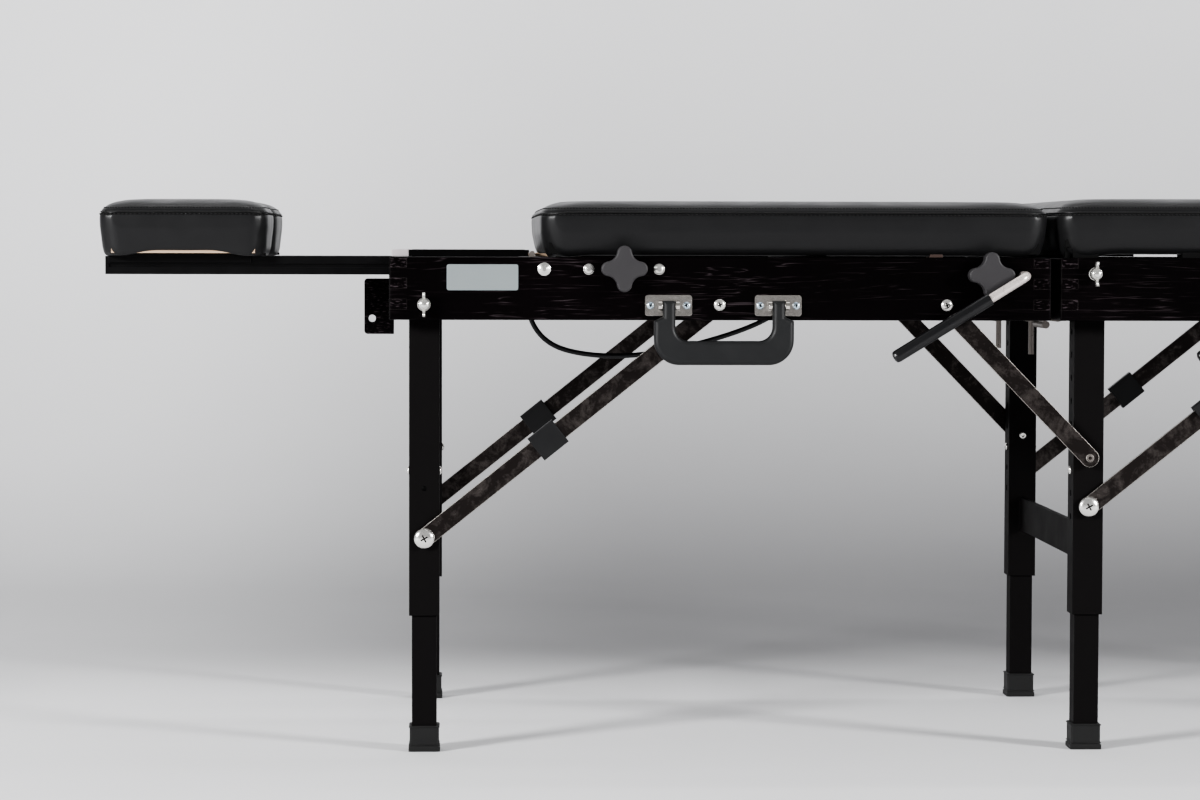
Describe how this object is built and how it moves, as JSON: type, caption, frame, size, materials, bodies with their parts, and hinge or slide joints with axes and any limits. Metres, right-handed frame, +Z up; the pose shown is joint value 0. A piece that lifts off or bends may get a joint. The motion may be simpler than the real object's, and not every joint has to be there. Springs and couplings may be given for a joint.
{
  "type": "folding chiropractic table",
  "caption": "Folding chiropractic adjusting table with sliding headpiece, drop sections and braced telescoping legs",
  "frame": {"origin": "On the floor, under the middle of the whole table's bounding box.", "axes": "+X runs along the table from the head end to the foot end, +Y from the near side with the levers to the far side, +Z up."},
  "size_m": [1.766, 0.5914, 0.6044],
  "materials": {
    "black_wood": "satin black stain over open-grained ash",
    "plywood": "bare plywood",
    "plated_steel": "dull nickel plate",
    "bright_steel": "bright plate",
    "sleeve_steel": "matte dark grey paint",
    "black_tube": "black powder coat",
    "black_rubber": "matte",
    "dark_plastic": "fine matte grain",
    "handle_plastic": "fine matte grain",
    "grip_vinyl": "glossy dipped vinyl",
    "black_vinyl": "glossy upholstery vinyl",
    "aluminium": "black anodised",
    "cable_jacket": "smooth jacket"
  },
  "bodies": {
    "head_half": {"head_near_rail": "black_wood", "head_far_rail": "black_wood", "head_end_rail": "black_wood", "head_junction_rail": "black_wood", "head_cross_rails": "black_wood", "hinge_head_leaves": "plated_steel", "head_frame_hardware": "plated_steel", "handle_plates": "bright_steel", "latch_tab": "black_wood", "release_cable": "cable_jacket"},
    "foot_half": {"foot_near_rail": "black_wood", "foot_far_rail": "black_wood", "foot_end_rail": "black_wood", "foot_junction_rail": "black_wood", "hinge_foot_leaves": "plated_steel", "foot_frame_hardware": "plated_steel", "foot_board": "plywood", "foot_pad": "black_vinyl"},
    "handle": {"handle_grip": "handle_plastic"},
    "thoracic_section": {"thoracic_board": "plywood", "thoracic_pad": "black_vinyl"},
    "thoracic_drop_lever": {"thoracic_lever": "bright_steel", "thoracic_lever_grip": "grip_vinyl"},
    "thoracic_clamp_knob": {"thoracic_knob": "dark_plastic"},
    "headrest_clamp_knob": {"headrest_knob": "dark_plastic"},
    "pelvic_section": {"pelvic_board": "plywood", "pelvic_pad": "black_vinyl"},
    "pelvic_drop_lever": {"pelvic_lever": "bright_steel", "pelvic_lever_grip": "grip_vinyl"},
    "pelvic_clamp_knob": {"pelvic_knob": "dark_plastic"},
    "headrest_slides": {"headrest_rails": "aluminium"},
    "headpiece": {"headrest_carriage": "black_tube", "headrest_board": "plywood", "headrest_near_cushion": "black_vinyl", "headrest_far_cushion": "black_vinyl"},
    "strut_pair": {"struts": "plated_steel"},
    "head_legs": {"head_leg_frame": "black_tube"},
    "head_near_extension": {"head_near_inner_leg": "black_tube", "head_near_foot": "black_rubber"},
    "head_far_extension": {"head_far_inner_leg": "black_tube", "head_far_foot": "black_rubber"},
    "head_upper_bars": {"head_brace_upper_bars": "plated_steel"},
    "head_lower_bars": {"head_brace_lower_bars": "plated_steel"},
    "head_sleeves": {"head_brace_sleeves": "sleeve_steel"},
    "middle_legs": {"middle_leg_frame": "black_tube"},
    "middle_near_extension": {"middle_near_inner_leg": "black_tube", "middle_near_foot": "black_rubber"},
    "middle_far_extension": {"middle_far_inner_leg": "black_tube", "middle_far_foot": "black_rubber"},
    "middle_upper_bars": {"middle_brace_upper_bars": "plated_steel"},
    "middle_lower_bars": {"middle_brace_lower_bars": "plated_steel"},
    "middle_sleeves": {"middle_brace_sleeves": "sleeve_steel"},
    "foot_legs": {"foot_leg_frame": "black_tube"},
    "foot_near_extension": {"foot_near_inner_leg": "black_tube", "foot_near_foot": "black_rubber"},
    "foot_far_extension": {"foot_far_inner_leg": "black_tube", "foot_far_foot": "black_rubber"},
    "foot_upper_bars": {"foot_brace_upper_bars": "plated_steel"},
    "foot_lower_bars": {"foot_brace_lower_bars": "plated_steel"},
    "foot_sleeves": {"foot_brace_sleeves": "sleeve_steel"}
  },
  "joints": [
    {"name": "halves_fold", "type": "hinge", "parent": "head_half", "child": "foot_half", "pos_m": [0.161, 0.0087, 0.4663], "axis": [0, 1, 0], "range_deg": [0, 90]},
    {"name": "handle_swing", "type": "hinge", "parent": "head_half", "child": "handle", "pos_m": [-0.2005, -0.2703, 0.488], "axis": [-1, 0, 0], "range_deg": [0, 100]},
    {"name": "thoracic_lever_turn", "type": "hinge", "parent": "head_half", "child": "thoracic_drop_lever", "pos_m": [0.125, -0.2413, 0.5206], "axis": [0, -1, 0], "range_deg": [0, 35]},
    {"name": "thoracic_drop", "type": "hinge", "parent": "head_half", "child": "thoracic_section", "pos_m": [-0.4065, 0.0087, 0.5436], "axis": [0, -1, 0], "range_deg": [0, 1.2]},
    {"name": "pelvic_lever_turn", "type": "hinge", "parent": "foot_half", "child": "pelvic_drop_lever", "pos_m": [0.455, -0.2413, 0.5206], "axis": [0, -1, 0], "range_deg": [0, 35]},
    {"name": "pelvic_drop", "type": "hinge", "parent": "foot_half", "child": "pelvic_section", "pos_m": [0.1768, 0.0087, 0.5484], "axis": [0, -1, 0], "range_deg": [0, 1.2]},
    {"name": "headrest_knob_turn", "type": "hinge", "parent": "head_half", "child": "headrest_clamp_knob", "pos_m": [-0.308, -0.2513, 0.5274], "axis": [0, -1, 0], "continuous": true},
    {"name": "thoracic_knob_turn", "type": "hinge", "parent": "head_half", "child": "thoracic_clamp_knob", "pos_m": [0.089, -0.2513, 0.5212], "axis": [0, -1, 0], "continuous": true},
    {"name": "pelvic_knob_turn", "type": "hinge", "parent": "foot_half", "child": "pelvic_clamp_knob", "pos_m": [0.419, -0.2513, 0.5212], "axis": [0, -1, 0], "continuous": true},
    {"name": "headrest_rails_slide", "type": "slide", "parent": "head_half", "child": "headrest_slides", "axis": [-1, 0, 0], "range_m": [-0.06, 0.08]},
    {"name": "headpiece_slide", "type": "slide", "parent": "headrest_slides", "child": "headpiece", "axis": [1, 0, 0], "range_m": [0, 0.12]},
    {"name": "struts_fold", "type": "hinge", "parent": "head_half", "child": "strut_pair", "pos_m": [0.042, 0.0087, 0.4887], "axis": [0, 1, 0], "range_deg": [0, 128]},
    {"name": "head_legs_fold", "type": "hinge", "parent": "head_half", "child": "head_legs", "pos_m": [-0.5235, 0.0087, 0.4887], "axis": [0, -1, 0], "range_deg": [0, 90], "deforming": ["release_cable"]},
    {"name": "head_near_height", "type": "slide", "parent": "head_legs", "child": "head_near_extension", "axis": [0, 0, 1], "range_m": [-0.127, 0.1016]},
    {"name": "head_far_height", "type": "slide", "parent": "head_legs", "child": "head_far_extension", "axis": [0, 0, 1], "range_m": [-0.127, 0.1016]},
    {"name": "head_upper_bars_turn", "type": "hinge", "parent": "head_half", "child": "head_upper_bars", "pos_m": [-0.2045, 0.0087, 0.4887], "axis": [0, -1, 0], "range_deg": [-38.65, 0]},
    {"name": "head_knee_turn", "type": "hinge", "parent": "head_upper_bars", "child": "head_lower_bars", "pos_m": [-0.38899, 0.0087, 0.34122], "axis": [0, -1, 0], "range_deg": [0, 180.1]},
    {"name": "head_sleeve_slide", "type": "slide", "parent": "head_upper_bars", "child": "head_sleeves", "axis": [0.7811, 0, 0.6244], "range_m": [0, 0.206]},
    {"name": "middle_legs_fold", "type": "hinge", "parent": "foot_half", "child": "middle_legs", "pos_m": [0.2035, 0.0087, 0.5229], "axis": [0, -1, 0], "range_deg": [0, 90]},
    {"name": "middle_near_height", "type": "slide", "parent": "middle_legs", "child": "middle_near_extension", "axis": [0, 0, 1], "range_m": [-0.127, 0.1016]},
    {"name": "middle_far_height", "type": "slide", "parent": "middle_legs", "child": "middle_far_extension", "axis": [0, 0, 1], "range_m": [-0.127, 0.1016]},
    {"name": "middle_upper_bars_turn", "type": "hinge", "parent": "foot_half", "child": "middle_upper_bars", "pos_m": [0.5225, 0.0087, 0.5229], "axis": [0, -1, 0], "range_deg": [-38.65, 0]},
    {"name": "middle_knee_turn", "type": "hinge", "parent": "middle_upper_bars", "child": "middle_lower_bars", "pos_m": [0.338, 0.0087, 0.37542], "axis": [0, -1, 0], "range_deg": [0, 180.1]},
    {"name": "middle_sleeve_slide", "type": "slide", "parent": "middle_upper_bars", "child": "middle_sleeves", "axis": [0.7811, 0, 0.6244], "range_m": [0, 0.206]},
    {"name": "foot_legs_fold", "type": "hinge", "parent": "foot_half", "child": "foot_legs", "pos_m": [0.8455, 0.0087, 0.4887], "axis": [0, 1, 0], "range_deg": [0, 90]},
    {"name": "foot_near_height", "type": "slide", "parent": "foot_legs", "child": "foot_near_extension", "axis": [0, 0, 1], "range_m": [-0.127, 0.1016]},
    {"name": "foot_far_height", "type": "slide", "parent": "foot_legs", "child": "foot_far_extension", "axis": [0, 0, 1], "range_m": [-0.127, 0.1016]},
    {"name": "foot_upper_bars_turn", "type": "hinge", "parent": "foot_half", "child": "foot_upper_bars", "pos_m": [0.5265, 0.0087, 0.4887], "axis": [0, 1, 0], "range_deg": [-38.65, 0]},
    {"name": "foot_knee_turn", "type": "hinge", "parent": "foot_upper_bars", "child": "foot_lower_bars", "pos_m": [0.711, 0.0087, 0.34122], "axis": [0, 1, 0], "range_deg": [0, 180.1]},
    {"name": "foot_sleeve_slide", "type": "slide", "parent": "foot_upper_bars", "child": "foot_sleeves", "axis": [-0.7811, 0, 0.6244], "range_m": [0, 0.206]}
  ],
  "couplings": [
    {"joint": "thoracic_drop", "follows": "thoracic_lever_turn", "ratio": 0.034285},
    {"joint": "pelvic_drop", "follows": "pelvic_lever_turn", "ratio": 0.034285},
    {"joint": "head_upper_bars_turn", "follows": "head_legs_fold", "ratio": -0.42931},
    {"joint": "head_knee_turn", "follows": "head_legs_fold", "ratio": 2},
    {"joint": "head_sleeve_slide", "follows": "head_legs_fold", "m_per_rad": 0.1305},
    {"joint": "middle_upper_bars_turn", "follows": "middle_legs_fold", "ratio": -0.42931},
    {"joint": "middle_knee_turn", "follows": "middle_legs_fold", "ratio": 2},
    {"joint": "middle_sleeve_slide", "follows": "middle_legs_fold", "m_per_rad": 0.1305},
    {"joint": "foot_upper_bars_turn", "follows": "foot_legs_fold", "ratio": -0.42931},
    {"joint": "foot_knee_turn", "follows": "foot_legs_fold", "ratio": 2},
    {"joint": "foot_sleeve_slide", "follows": "foot_legs_fold", "m_per_rad": 0.1305}
  ]
}
